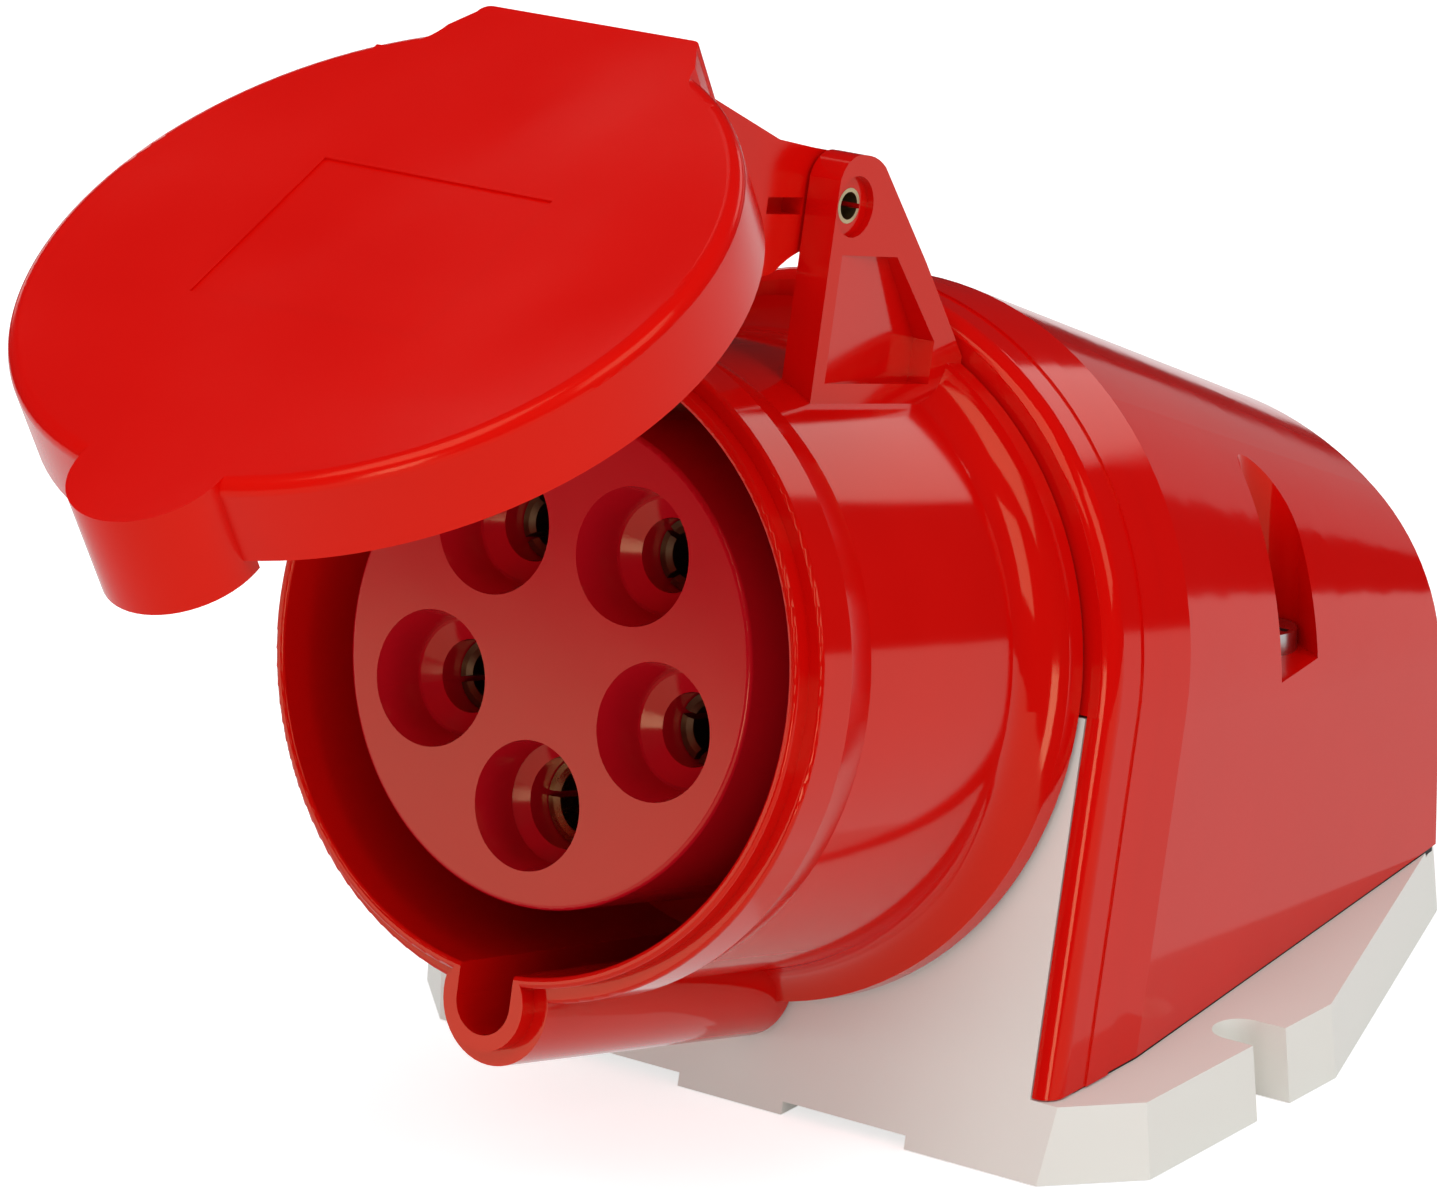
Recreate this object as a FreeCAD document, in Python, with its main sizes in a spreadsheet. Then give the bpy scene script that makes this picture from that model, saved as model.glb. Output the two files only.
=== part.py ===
"""Industrial wall socket: a leaning five-pole outlet in a hood on a wall box, with a hinged lid."""
import FreeCAD
import Part
import math
import operator
import os
from types import SimpleNamespace

import Sketcher
from FreeCAD import Placement, Rotation, Vector

document = FreeCAD.newDocument("wall_socket")
sheet = document.addObject("Spreadsheet::Sheet", "Sizes")

# Driving dimensions in millimetres and degrees. Depths of the outlet count from its rim, away from the user.
# Sideways is x, the wall plane is z = 0, and y runs up the back of the box from the line of the mounting slots.
SIZES = [
    # Place and lean of the outlet
    ("rim_height", 57.9),
    ("rim_forward", 62.5),
    ("lean", 14),
    # Outlet shell, turned shape
    ("mouth_radius", 31.5),
    ("mouth_floor_radius", 30.6),
    ("lip_radius", 32.6),
    ("lip_length", 2),
    ("collar_radius", 34.2),
    ("collar_end", 7),
    ("barrel_radius", 33),
    ("barrel_start", 12),
    ("barrel_end", 37),
    ("flare_radius", 4.8),
    ("flange_radius", 36.7),
    ("flange_front", 41.7),
    ("wall_front", 45),
    ("wall_thickness", 3),
    ("socket_gasket_thickness", 0.8),
    ("socket_gasket_radius", 36.2),
    ("neck_radius", 34),
    ("neck_fit", 0.3),
    ("groove_play", 0.6),
    ("rear_flange_radius", 36.2),
    ("rear_flange_thickness", 2.5),
    ("floor_depth", 39.5),
    ("floor_thickness", 4),
    ("skirt_radius", 30.3),
    # Keyway
    ("key_centre", 34.67),
    ("key_radius", 3.37),
    ("key_wall", 3.23),
    # Hinge ears
    ("hinge_up", 48.4),
    ("hinge_depth", 21.6),
    ("ear_gap_half", 12.7),
    ("ear_thickness", 3.8),
    ("ear_root", 27.5),
    ("ear_ahead", 3.1),
    ("ear_crown", 5.2),
    ("ear_bend_down", 5.4),
    ("ear_bend_back", 13.9),
    ("ear_foot", 6),
    ("ear_rib", 2),
    ("ear_recess", 2.4),
    ("eye_radius", 3.1),
    ("eye_depth", 0.8),
    ("shell_edge", 0.4),
    # Hinge pin
    ("pin_radius", 1.8),
    ("pin_bore_radius", 1.4),
    ("pin_slit", 0.5),
    ("pin_seat_fit", 0.02),
    ("pin_turn_fit", 0.08),
    # Lid
    ("lid_radius", 36.2),
    ("lid_wall", 1.6),
    ("lid_face", 5.5),
    ("lid_plate", 2.2),
    ("lid_drop", 3.4),
    ("lid_edge", 1.5),
    ("lid_open", 53),
    ("tab_half_width", 13.6),
    ("tab_end", 37.4),
    ("tab_root_half_width", 15.3),
    ("tab_root", 33.5),
    ("tab_fillet", 5.5),
    ("panel_half_width", 14),
    ("panel_half_height", 11),
    ("panel_depth", 0.25),
    ("knuckle_half_width", 12.3),
    ("knuckle_radius", 4.9),
    ("knuckle_slot_length", 6),
    ("knuckle_slot_width", 1.7),
    ("knuckle_slot_depth", 2.5),
    ("knuckle_slot_lean", 36),
    ("nose_fit", 0.45),
    ("nose_wall", 1.2),
    ("nose_drop", 5.5),
    ("lid_gasket_inner", 29.6),
    ("lid_gasket_outer", 33.6),
    ("lid_gasket_gap", 0.3),
    # Lid spring
    ("wire_radius", 0.45),
    ("coil_radius", 2.75),
    ("coil_turns", 5),
    ("coil_pitch", 1.1),
    ("spring_pocket_radius", 3.5),
    ("spring_pocket_half_width", 4.2),
    ("spring_leg", 14.75),
    ("spring_lid_leg", 9),
    # Contact carrier and contacts
    ("carrier_radius", 25),
    ("carrier_fit", 0.15),
    ("carrier_face", 2.9),
    ("carrier_edge", 0.5),
    ("carrier_flange_radius", 30),
    ("carrier_flange_thickness", 2.8),
    ("pole_circle_radius", 14.84),
    ("first_pole_angle", -18),
    ("pole_step", 72),
    ("hollow_depth", 5.6),
    ("funnel_depth", 1.1),
    ("phase_hollow_radius", 6.95),
    ("phase_hollow_floor_radius", 6),
    ("phase_bore_radius", 2.5),
    ("phase_sleeve_wall", 1.15),
    ("earth_hollow_radius", 6.58),
    ("earth_hollow_floor_radius", 6.2),
    ("earth_bore_radius", 3.5),
    ("earth_sleeve_wall", 1.1),
    ("sleeve_fit", 0.12),
    ("funnel_width", 1.9),
    ("sleeve_front", 12.5),
    ("sleeve_bore_depth", 24),
    ("sleeve_slit", 0.6),
    ("sleeve_slit_length", 15),
    ("shoulder_width", 1.5),
    ("shoulder_thickness", 2.6),
    ("neck_step", 0.4),
    ("retainer_thickness", 3),
    ("terminal_width", 9),
    ("terminal_length", 12),
    ("conductor_radius", 2.1),
    ("clamp_screw_radius", 1.75),
    ("clamp_screw_length", 3.4),
    ("clamp_screw_spacing", 5),
    # Carrier screws
    ("carrier_screw_circle", 27.3),
    ("carrier_screw_radius", 1.25),
    ("carrier_screw_bite", 3),
    ("small_head_radius", 2.2),
    ("small_head_height", 1.5),
    ("screw_fit", 0.08),
    # Base box
    ("foot_height", 8.3),
    ("foot_front_half_width", 39.2),
    ("foot_shoulder_half_width", 47.7),
    ("foot_shoulder_y", -22.4),
    ("foot_side_half_width", 48.5),
    ("foot_side_y", 11.7),
    ("foot_rear_half_width", 31.4),
    ("foot_rear_y", 60),
    ("foot_end_y", 61),
    ("foot_draft", 4.5),
    ("front_wall_half_width", 37),
    ("box_floor_bottom", 1.4),
    ("box_floor_thickness", 2.5),
    ("rim_width", 4.2),
    ("pad_half_width", 6.8),
    ("gap_half_width", 22.6),
    ("slot_spacing", 88),
    ("slot_width", 6),
    # Hood
    ("hood_radius", 39.6),
    ("hood_wall", 2.4),
    ("hood_crease", 60),
    ("hood_lip_end", 50.6),
    ("hood_lip_height", 0.15),
    ("hood_band_end", 54.4),
    ("hood_band_height", 0.35),
    ("hood_front_round", 2.1),
    ("hood_rear_y", 58.5),
    ("hood_rear_half_width", 31.9),
    ("hood_rear_corner_radius", 24),
    ("hood_rear_top_radius", 36.5),
    ("hood_rear_top", 56.8),
    ("hood_bottom", 8.5),
    ("well_x", 29.4),
    ("well_y", 27),
    ("well_radius", 3.5),
    ("well_lean", 32),
    ("well_floor", 40),
    ("column_wall", 1.3),
    ("boss_radius", 4),
    ("hood_gasket_thickness", 0.8),
    ("hood_gasket_width", 3.2),
    ("long_screw_radius", 1.9),
    ("long_screw_hole_radius", 2.2),
    ("long_screw_end", 2.5),
    ("long_head_radius", 3.1),
    ("long_head_height", 2.4),
    # Cable gland
    ("gland_height", 28),
    ("gland_thread_radius", 12.4),
    ("gland_hole_fit", 0.1),
    ("gland_hex", 29),
    ("gland_hex_length", 6),
    ("gland_bore_radius", 8.5),
    ("gland_nut_length", 14),
    ("gland_nut_gap", 1.2),
    ("gland_sleeve_length", 8),
    ("gland_sleeve_radius", 11),
    ("gland_seal_bore_radius", 6.5),
    ("locknut_thickness", 5),
    ("locknut_hex", 30),
]

OPERATORS = {"+": operator.add, "-": operator.sub, "*": operator.mul, "/": operator.truediv}


class Size:
    """A number together with the sheet formula that gives it."""

    def __init__(self, number, formula):
        self.number = float(number)
        self.formula = formula

    def __add__(self, other):
        return combine(self, "+", other)

    def __radd__(self, other):
        return combine(other, "+", self)

    def __sub__(self, other):
        return combine(self, "-", other)

    def __rsub__(self, other):
        return combine(other, "-", self)

    def __mul__(self, other):
        return combine(self, "*", other)

    def __rmul__(self, other):
        return combine(other, "*", self)

    def __truediv__(self, other):
        return combine(self, "/", other)

    def __neg__(self):
        return combine(0, "-", self)


def as_size(value):
    return value if isinstance(value, Size) else Size(value, f"({float(value)!r})")


def combine(first, sign, second):
    first, second = as_size(first), as_size(second)
    number = OPERATORS[sign](first.number, second.number)
    return Size(number, f"({first.formula} {sign} {second.formula})")


def sine(angle):
    return Size(math.sin(math.radians(angle.number)), f"sin({angle.formula})")


def cosine(angle):
    return Size(math.cos(math.radians(angle.number)), f"cos({angle.formula})")


def arc_tangent(value):
    return Size(math.degrees(math.atan(value.number)), f"atan({value.formula})")


def root(value):
    return Size(math.sqrt(value.number), f"sqrt({value.formula})")


def fill_sheet():
    """Write each size into the sheet under its own name, and give the sizes back by name."""
    named = {}
    for row, (name, value) in enumerate(SIZES, start=1):
        sheet.set(f"A{row}", name)
        sheet.set(f"B{row}", str(value))
        sheet.setAlias(f"B{row}", name)
        named[name] = Size(value, f"Sizes.{name}")
    document.recompute()
    return SimpleNamespace(**named)


s = fill_sheet()


def bind(item, prop, value):
    """Tie a property of a document object to the sheet."""
    item.setExpression(prop, as_size(value).formula)


class Frame:
    """A placement and its sheet formula: a shift, then a turn about an axis."""

    def __init__(self, shift=(0, 0, 0), axis=(0, 0, 1), angle=0):
        shift = [as_size(value) for value in shift]
        angle = as_size(angle)
        turn = Rotation(Vector(*axis), angle.number)
        self.placement = Placement(Vector(*[value.number for value in shift]), turn)
        point = "; ".join(value.formula for value in shift)
        direction = "; ".join(f"{value}" for value in axis)
        self.formula = (f"create(<<placement>>; create(<<vector>>; {point}); "
                        f"create(<<rotation>>; create(<<vector>>; {direction}); {angle.formula}))")

    def then(self, other):
        joined = Frame()
        joined.placement = self.placement.multiply(other.placement)
        joined.formula = f"{self.formula} * {other.formula}"
        return joined

    def set_on(self, item):
        item.Placement = self.placement
        item.setExpression("Placement", self.formula)


def outline(sketch, corners):
    """Draw a closed outline. A corner is (x, y) after a straight side, or (x, y, radius) after an arc,
    with the radius negative where the arc turns clockwise."""
    corners = [tuple(as_size(value) for value in corner) for corner in corners]
    spots = [Vector(corner[0].number, corner[1].number, 0) for corner in corners]
    count = len(corners)
    ends = []
    for index in range(count):
        start, end = spots[index - 1], spots[index]
        radius = corners[index][2] if len(corners[index]) > 2 else None
        if radius is None:
            geometry = sketch.addGeometry(Part.LineSegment(start, end), False)
            ends.append((geometry, 1, 2))
            continue
        chord = end - start
        size = abs(radius.number)
        left = Vector(-chord.y, chord.x, 0).normalize()
        rise = math.sqrt(max(size ** 2 - chord.Length ** 2 / 4, 0))
        anticlockwise = radius.number > 0
        centre = (start + end) * 0.5 + left * (rise if anticlockwise else -rise)
        first, last = (start, end) if anticlockwise else (end, start)
        from_angle = math.atan2(first.y - centre.y, first.x - centre.x)
        to_angle = math.atan2(last.y - centre.y, last.x - centre.x)
        if to_angle < from_angle:
            to_angle += 2 * math.pi
        circle_shape = Part.Circle(centre, Vector(0, 0, 1), size)
        geometry = sketch.addGeometry(Part.ArcOfCircle(circle_shape, from_angle, to_angle), False)
        ends.append((geometry, 1, 2) if anticlockwise else (geometry, 2, 1))
        number = sketch.addConstraint(Sketcher.Constraint("Radius", geometry, size))
        bind(sketch, f"Constraints[{number}]", radius if anticlockwise else -radius)
    for index in range(count):
        geometry, begin, finish = ends[index]
        before, _, before_finish = ends[index - 1]
        sketch.addConstraint(Sketcher.Constraint("Coincident", before, before_finish, geometry, begin))
        fix_point(sketch, geometry, finish, corners[index][0], corners[index][1])


def fix_point(sketch, geometry, end, x, y):
    """Hold a point at its distances from the sketch's origin."""
    for kind, axis, value in (("DistanceX", -2, x), ("DistanceY", -1, y)):
        if value.number == 0:
            sketch.addConstraint(Sketcher.Constraint("PointOnObject", geometry, end, axis))
            continue
        if value.number > 0:
            constraint = Sketcher.Constraint(kind, -1, 1, geometry, end, value.number)
        else:
            constraint = Sketcher.Constraint(kind, geometry, end, -1, 1, -value.number)
            value = -value
        number = sketch.addConstraint(constraint)
        bind(sketch, f"Constraints[{number}]", value)


def circle(sketch, x, y, radius):
    x, y, radius = as_size(x), as_size(y), as_size(radius)
    centre = Vector(x.number, y.number, 0)
    geometry = sketch.addGeometry(Part.Circle(centre, Vector(0, 0, 1), radius.number), False)
    fix_point(sketch, geometry, 3, x, y)
    number = sketch.addConstraint(Sketcher.Constraint("Radius", geometry, radius.number))
    bind(sketch, f"Constraints[{number}]", radius)


def both_sides(half, across=None):
    """Complete an outline that is the same on both sides of x = 0, from its right half. The side across
    the top is straight, or an arc of the radius given."""
    other = []
    for index in reversed(range(len(half))):
        x, y = half[index][:2]
        if index + 1 == len(half):
            radius = across
        else:
            radius = half[index + 1][2] if len(half[index + 1]) > 2 else None
        corner = (-as_size(x), y)
        other.append(corner if radius is None else corner + (radius,))
    return half + other


def hexagon(width):
    """Six corners of a hexagon with two flats at left and right."""
    corner = width / root(as_size(3))
    return [(width / 2, -corner / 2), (width / 2, corner / 2), (0, corner),
            (-width / 2, corner / 2), (-width / 2, -corner / 2), (0, -corner)]


class Piece:
    """A body whose sketches all measure from one point, the datum."""

    def __init__(self, name, frame=None, datum=(0, 0, 0)):
        self.body = document.addObject("PartDesign::Body", name)
        self.body.Label = name
        self.name = name
        self.datum = [as_size(value) for value in datum]
        if frame:
            frame.set_on(self.body)

    def sketch(self, plane, name, shift, axis=(0, 0, 1), angle=0):
        sketch = self.body.newObject("Sketcher::SketchObject", f"{self.name}_{name}_sketch")
        support = next(item for item in self.body.Origin.OriginFeatures if item.Role == plane)
        sketch.AttachmentSupport = [(support, "")]
        sketch.MapMode = "FlatFace"
        shift = [as_size(value) for value in shift]
        angle = as_size(angle)
        turn = Rotation(Vector(*axis), angle.number)
        sketch.AttachmentOffset = Placement(Vector(*[value.number for value in shift]), turn)
        for letter, value in zip("xyz", shift):
            bind(sketch, f"AttachmentOffset.Base.{letter}", value)
        if angle.number:
            bind(sketch, "AttachmentOffset.Rotation.Angle", angle)
        return sketch

    def across(self, name, z=0):
        """A sketch square to z."""
        x, y, base = self.datum
        return self.sketch("XY_Plane", name, (x, y, base + z))

    def upright(self, name, x=0):
        """A sketch square to x, with y to its right and z up."""
        base, y, z = self.datum
        return self.sketch("YZ_Plane", name, (y, z, base + x))

    def axial(self, name, angle=0):
        """A sketch that holds the z axis, turned about it by an angle."""
        x, y, z = self.datum
        return self.sketch("XZ_Plane", name, (x, z, -y), (0, 1, 0), angle)

    def leaning(self, name, depth):
        """A sketch square to the outlet's axis, for a piece that stands square to the wall."""
        height = s.rim_height - depth * sine(s.lean)
        forward = s.rim_forward - depth * cosine(s.lean)
        return self.sketch("XZ_Plane", name, (0, height, forward), (-1, 0, 0), s.lean)

    def feature(self, kind, name, sketch):
        item = self.body.newObject(f"PartDesign::{kind}", f"{self.name}_{name}")
        item.Profile = sketch
        return item

    def pad(self, name, sketch, length, back=False, even=False):
        item = self.feature("Pad", name, sketch)
        bind(item, "Length", length)
        item.Reversed = back
        if even:
            item.SideType = "Symmetric"
        return item

    def pocket(self, name, sketch, depth, ahead=False, even=False):
        item = self.feature("Pocket", name, sketch)
        bind(item, "Length", depth)
        item.Reversed = ahead
        if even:
            item.SideType = "Symmetric"
        return item

    def turn(self, name, sketch, axis="V_Axis"):
        item = self.feature("Revolution", name, sketch)
        item.ReferenceAxis = (sketch, [axis])
        return item

    def groove(self, name, sketch, axis="V_Axis"):
        item = self.feature("Groove", name, sketch)
        item.ReferenceAxis = (sketch, [axis])
        return item

    def repeat(self, name, features, count, angle):
        """Copies about the z axis, the first and the last an angle apart."""
        item = self.body.newObject("PartDesign::PolarPattern", f"{self.name}_{name}")
        item.Originals = features
        item.Axis = (features[0].Profile[0], ["N_Axis"])
        item.Occurrences = count
        bind(item, "Angle", angle)
        self.body.Tip = item
        return item

    def mirror(self, name, features):
        """The same features on the other side of x = 0."""
        item = self.body.newObject("PartDesign::Mirrored", f"{self.name}_{name}")
        item.Originals = features
        side = next(plane for plane in self.body.Origin.OriginFeatures if plane.Role == "YZ_Plane")
        item.MirrorPlane = (side, [""])
        self.body.Tip = item
        return item


# Depths that several pieces share
flange_back = s.wall_front - s.socket_gasket_thickness
wall_back = s.wall_front + s.wall_thickness
rear_flange_front = wall_back + s.groove_play
rear_flange_back = rear_flange_front + s.rear_flange_thickness
floor_back = s.floor_depth + s.floor_thickness
carrier_back = floor_back + s.carrier_flange_thickness
retainer_back = carrier_back + s.retainer_thickness
terminal_front = retainer_back + s.groove_play
terminal_back = terminal_front + s.terminal_length
foot_front_y = (s.wall_front - s.rim_height * sine(s.lean)) / cosine(s.lean) - s.rim_forward
box_floor_top = s.box_floor_bottom + s.box_floor_thickness
ear_front = s.hinge_depth - s.ear_ahead
reach = 2 * s.foot_side_half_width

outlet_frame = Frame((0, -s.rim_forward, s.rim_height), (1, 0, 0), 90 - s.lean)
to_hinge = Frame((0, s.hinge_up, -s.hinge_depth))
swing = Frame((0, 0, 0), (-1, 0, 0), s.lid_open)
lid_frame = outlet_frame.then(to_hinge).then(swing)
lid_datum = (0, -s.hinge_up, s.hinge_depth)


def make_socket_shell():
    piece = Piece("socket_shell", outlet_frame)
    side = piece.axial("side")
    edge = s.shell_edge
    outline(side, [
        (0, 0), (s.lip_radius - edge, 0), (s.lip_radius, -edge, -edge), (s.lip_radius, -s.lip_length),
        (s.collar_radius - edge, -s.lip_length), (s.collar_radius, -s.lip_length - edge, -edge),
        (s.collar_radius, -s.collar_end), (s.barrel_radius, -s.barrel_start),
        (s.barrel_radius, -s.barrel_end), (s.flange_radius, -s.flange_front, s.flare_radius),
        (s.flange_radius, -flange_back), (s.neck_radius, -flange_back),
        (s.neck_radius, -rear_flange_front), (s.rear_flange_radius, -rear_flange_front),
        (s.rear_flange_radius, -rear_flange_back), (0, -rear_flange_back)])
    piece.turn("turned", side)

    bulge = piece.across("bulge", -s.lip_length)
    circle(bulge, 0, -s.key_centre, s.key_radius + s.key_wall)
    piece.pad("bulge", bulge, flange_back - s.lip_length, back=True)
    bulge_lip = piece.across("bulge_lip")
    circle(bulge_lip, 0, -s.key_centre, s.key_radius + s.key_wall / 2)
    piece.pad("bulge_lip", bulge_lip, s.lip_length, back=True)

    ear = piece.upright("ear", s.ear_gap_half)
    ear_top = s.hinge_up + s.ear_crown
    outline(ear, [
        (s.ear_root, -ear_front), (ear_top - 2.7, -ear_front),
        (ear_top, -s.hinge_depth - 0.7, -3.4), (ear_top - 1.1, -s.hinge_depth - 4.4, -6),
        (s.hinge_up - s.ear_bend_down, -s.hinge_depth - s.ear_bend_back),
        (s.ear_root + s.ear_foot, -flange_back), (s.ear_root, -flange_back)])
    ears = piece.pad("ear", ear, s.ear_thickness)
    piece.mirror("ears", [ears])

    cavity = piece.axial("cavity")
    opening = s.carrier_radius + s.carrier_fit
    outline(cavity, [
        (0, 1), (s.mouth_radius + edge, 1), (s.mouth_radius + edge, 0), (s.mouth_radius, -edge, edge),
        (s.mouth_floor_radius, -s.floor_depth),
        (opening, -s.floor_depth), (opening, -floor_back), (s.skirt_radius, -floor_back),
        (s.skirt_radius, -rear_flange_back - 1), (0, -rear_flange_back - 1)])
    piece.groove("cavity", cavity)

    channel = piece.across("channel")
    inner = s.mouth_floor_radius - 3
    outline(channel, [
        (s.key_radius, -inner), (-s.key_radius, -inner), (-s.key_radius, -s.key_centre),
        (0, -s.key_centre - s.key_radius, s.key_radius), (s.key_radius, -s.key_centre, s.key_radius)])
    piece.pocket("channel", channel, s.floor_depth)

    recess_front = ear_front + s.ear_rib
    recess_rear = s.flange_front - 3.2
    recess_span = recess_rear - recess_front
    recess_slope = s.ear_recess / recess_span
    recess = piece.sketch("YZ_Plane", "recess", (0, -recess_front, s.ear_gap_half + s.ear_thickness),
                          (1, 0, 0), arc_tangent(recess_slope))
    recess_foot = s.ear_root + 3.1
    recess_top = s.hinge_up - s.knuckle_radius
    stretch = root(1 + recess_slope * recess_slope)
    outline(recess, [
        (recess_foot, 0), (recess_top, 0),
        (recess_top, (recess_front - s.hinge_depth - s.ear_bend_back + 5.5) * stretch),
        (recess_foot + 4.4, -recess_span * stretch), (recess_foot, -recess_span * stretch)])
    recesses = piece.pocket("recess", recess, s.ear_recess + 1, ahead=True)
    eye = piece.upright("eye", s.ear_gap_half + s.ear_thickness)
    circle(eye, s.hinge_up, -s.hinge_depth, s.eye_radius)
    eyes = piece.pocket("eye", eye, s.eye_depth)
    piece.mirror("recesses", [recesses, eyes])

    pin_hole = piece.upright("pin_hole")
    circle(pin_hole, s.hinge_up, -s.hinge_depth, s.pin_radius + s.pin_seat_fit)
    piece.pocket("pin_hole", pin_hole, 4 * s.ear_gap_half, even=True)

    screw_hole = piece.across("screw_hole", -floor_back)
    circle(screw_hole, 0, s.carrier_screw_circle, s.carrier_screw_radius + s.screw_fit)
    hole = piece.pocket("screw_hole", screw_hole, s.carrier_screw_bite + 0.3, ahead=True)
    piece.repeat("screw_holes", [hole], 3, 240)
    return piece.body


def make_socket_gasket():
    piece = Piece("socket_gasket", outlet_frame)
    ring = piece.across("ring", -flange_back)
    circle(ring, 0, 0, s.socket_gasket_radius)
    circle(ring, 0, 0, s.neck_radius + s.neck_fit)
    piece.pad("ring", ring, s.socket_gasket_thickness, back=True)
    return piece.body


def hollow_profile(hollow, hollow_floor, bore):
    """Half section of a pin opening beside its own axis at the pole circle: hollow, funnel and bore."""
    axis = s.pole_circle_radius
    hollow_end = s.carrier_face + s.hollow_depth
    return [
        (axis, -s.carrier_face + 1), (axis + hollow, -s.carrier_face + 1), (axis + hollow, -s.carrier_face),
        (axis + hollow_floor, -hollow_end), (axis + bore + s.funnel_width, -hollow_end),
        (axis + bore, -hollow_end - s.funnel_depth), (axis + bore, -carrier_back - 1),
        (axis, -carrier_back - 1)]


def contact_axis(sketch):
    """A construction line along a pin opening's own axis."""
    spot = s.pole_circle_radius
    line = Part.LineSegment(Vector(spot.number, -1, 0), Vector(spot.number, -2, 0))
    geometry = sketch.addGeometry(line, True)
    fix_point(sketch, geometry, 1, spot, as_size(-1))
    fix_point(sketch, geometry, 2, spot, as_size(-2))
    return "Axis0"


phase_outer = s.phase_bore_radius + s.phase_sleeve_wall
earth_outer = s.earth_bore_radius + s.earth_sleeve_wall


def make_contact_carrier():
    piece = Piece("contact_carrier", outlet_frame)
    side = piece.axial("side")
    outline(side, [
        (0, -s.carrier_face), (s.carrier_radius - s.carrier_edge, -s.carrier_face),
        (s.carrier_radius, -s.carrier_face - s.carrier_edge, -s.carrier_edge), (s.carrier_radius, -floor_back),
        (s.carrier_flange_radius, -floor_back), (s.carrier_flange_radius, -carrier_back),
        (0, -carrier_back)])
    piece.turn("turned", side)

    shoulder_depth = s.shoulder_thickness + 0.1
    phase = piece.axial("phase", s.first_pole_angle)
    outline(phase, hollow_profile(s.phase_hollow_radius, s.phase_hollow_floor_radius,
                                  phase_outer + s.sleeve_fit))
    axis = contact_axis(phase)
    phase_opening = piece.groove("phase", phase, axis)
    shoulder = piece.across("shoulder", -carrier_back)
    pole_x = s.pole_circle_radius * cosine(s.first_pole_angle)
    pole_y = s.pole_circle_radius * sine(s.first_pole_angle)
    circle(shoulder, pole_x, pole_y, phase_outer + s.shoulder_width + s.sleeve_fit)
    phase_seat = piece.pocket("shoulder", shoulder, shoulder_depth, ahead=True)
    pattern = piece.repeat("phases", [phase_seat, phase_opening], 4, 3 * s.pole_step)
    pattern.Axis = (shoulder, ["N_Axis"])

    earth = piece.axial("earth", s.first_pole_angle - s.pole_step)
    outline(earth, hollow_profile(s.earth_hollow_radius, s.earth_hollow_floor_radius,
                                  earth_outer + s.sleeve_fit))
    axis = contact_axis(earth)
    piece.groove("earth", earth, axis)
    earth_seat = piece.across("earth_seat", -carrier_back)
    circle(earth_seat, 0, -s.pole_circle_radius, earth_outer + s.shoulder_width + s.sleeve_fit)
    piece.pocket("earth_seat", earth_seat, shoulder_depth, ahead=True)

    screw_hole = piece.across("screw_hole", -floor_back)
    circle(screw_hole, 0, s.carrier_screw_circle, s.carrier_screw_radius + s.screw_fit)
    hole = piece.pocket("screw_hole", screw_hole, s.carrier_flange_thickness + 1)
    piece.repeat("screw_holes", [hole], 3, 240)
    return piece.body


def make_contact_retainer():
    piece = Piece("contact_retainer", outlet_frame)
    plate = piece.across("plate", -carrier_back)
    circle(plate, 0, 0, s.carrier_flange_radius)
    piece.pad("plate", plate, s.retainer_thickness, back=True)
    phase = piece.across("phase", -carrier_back)
    pole_x = s.pole_circle_radius * cosine(s.first_pole_angle)
    pole_y = s.pole_circle_radius * sine(s.first_pole_angle)
    circle(phase, pole_x, pole_y, phase_outer - s.neck_step + s.sleeve_fit)
    hole = piece.pocket("phase", phase, s.retainer_thickness + 1)
    piece.repeat("phases", [hole], 4, 3 * s.pole_step)
    earth = piece.across("earth", -carrier_back)
    circle(earth, 0, -s.pole_circle_radius, earth_outer - s.neck_step + s.sleeve_fit)
    piece.pocket("earth", earth, s.retainer_thickness + 1)
    screw_hole = piece.across("screw_hole", -carrier_back)
    circle(screw_hole, 0, s.carrier_screw_circle, s.carrier_screw_radius + s.screw_fit)
    hole = piece.pocket("screw_hole", screw_hole, s.retainer_thickness + 1)
    piece.repeat("screw_holes", [hole], 3, 240)
    return piece.body


def make_carrier_screws():
    """Three screws from behind, through retainer and carrier into the shell's floor."""
    piece = Piece("carrier_screws", outlet_frame)
    shank = piece.across("shank", -retainer_back)
    circle(shank, 0, s.carrier_screw_circle, s.carrier_screw_radius)
    grip = s.retainer_thickness + s.carrier_flange_thickness
    shanks = piece.pad("shank", shank, grip + s.carrier_screw_bite)
    head = piece.across("head", -retainer_back)
    circle(head, 0, s.carrier_screw_circle, s.small_head_radius)
    heads = piece.pad("head", head, s.small_head_height, back=True)
    cross = piece.across("cross", -retainer_back - s.small_head_height)
    half_slot = s.small_head_radius * 0.16
    outline(cross, [
        (half_slot, s.carrier_screw_circle - 1.6), (half_slot, s.carrier_screw_circle + 1.6),
        (-half_slot, s.carrier_screw_circle + 1.6), (-half_slot, s.carrier_screw_circle - 1.6)])
    crosses = piece.pocket("cross", cross, 0.8, ahead=True)
    piece.repeat("screws", [shanks, heads, crosses], 3, 240)
    return piece.body


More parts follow.
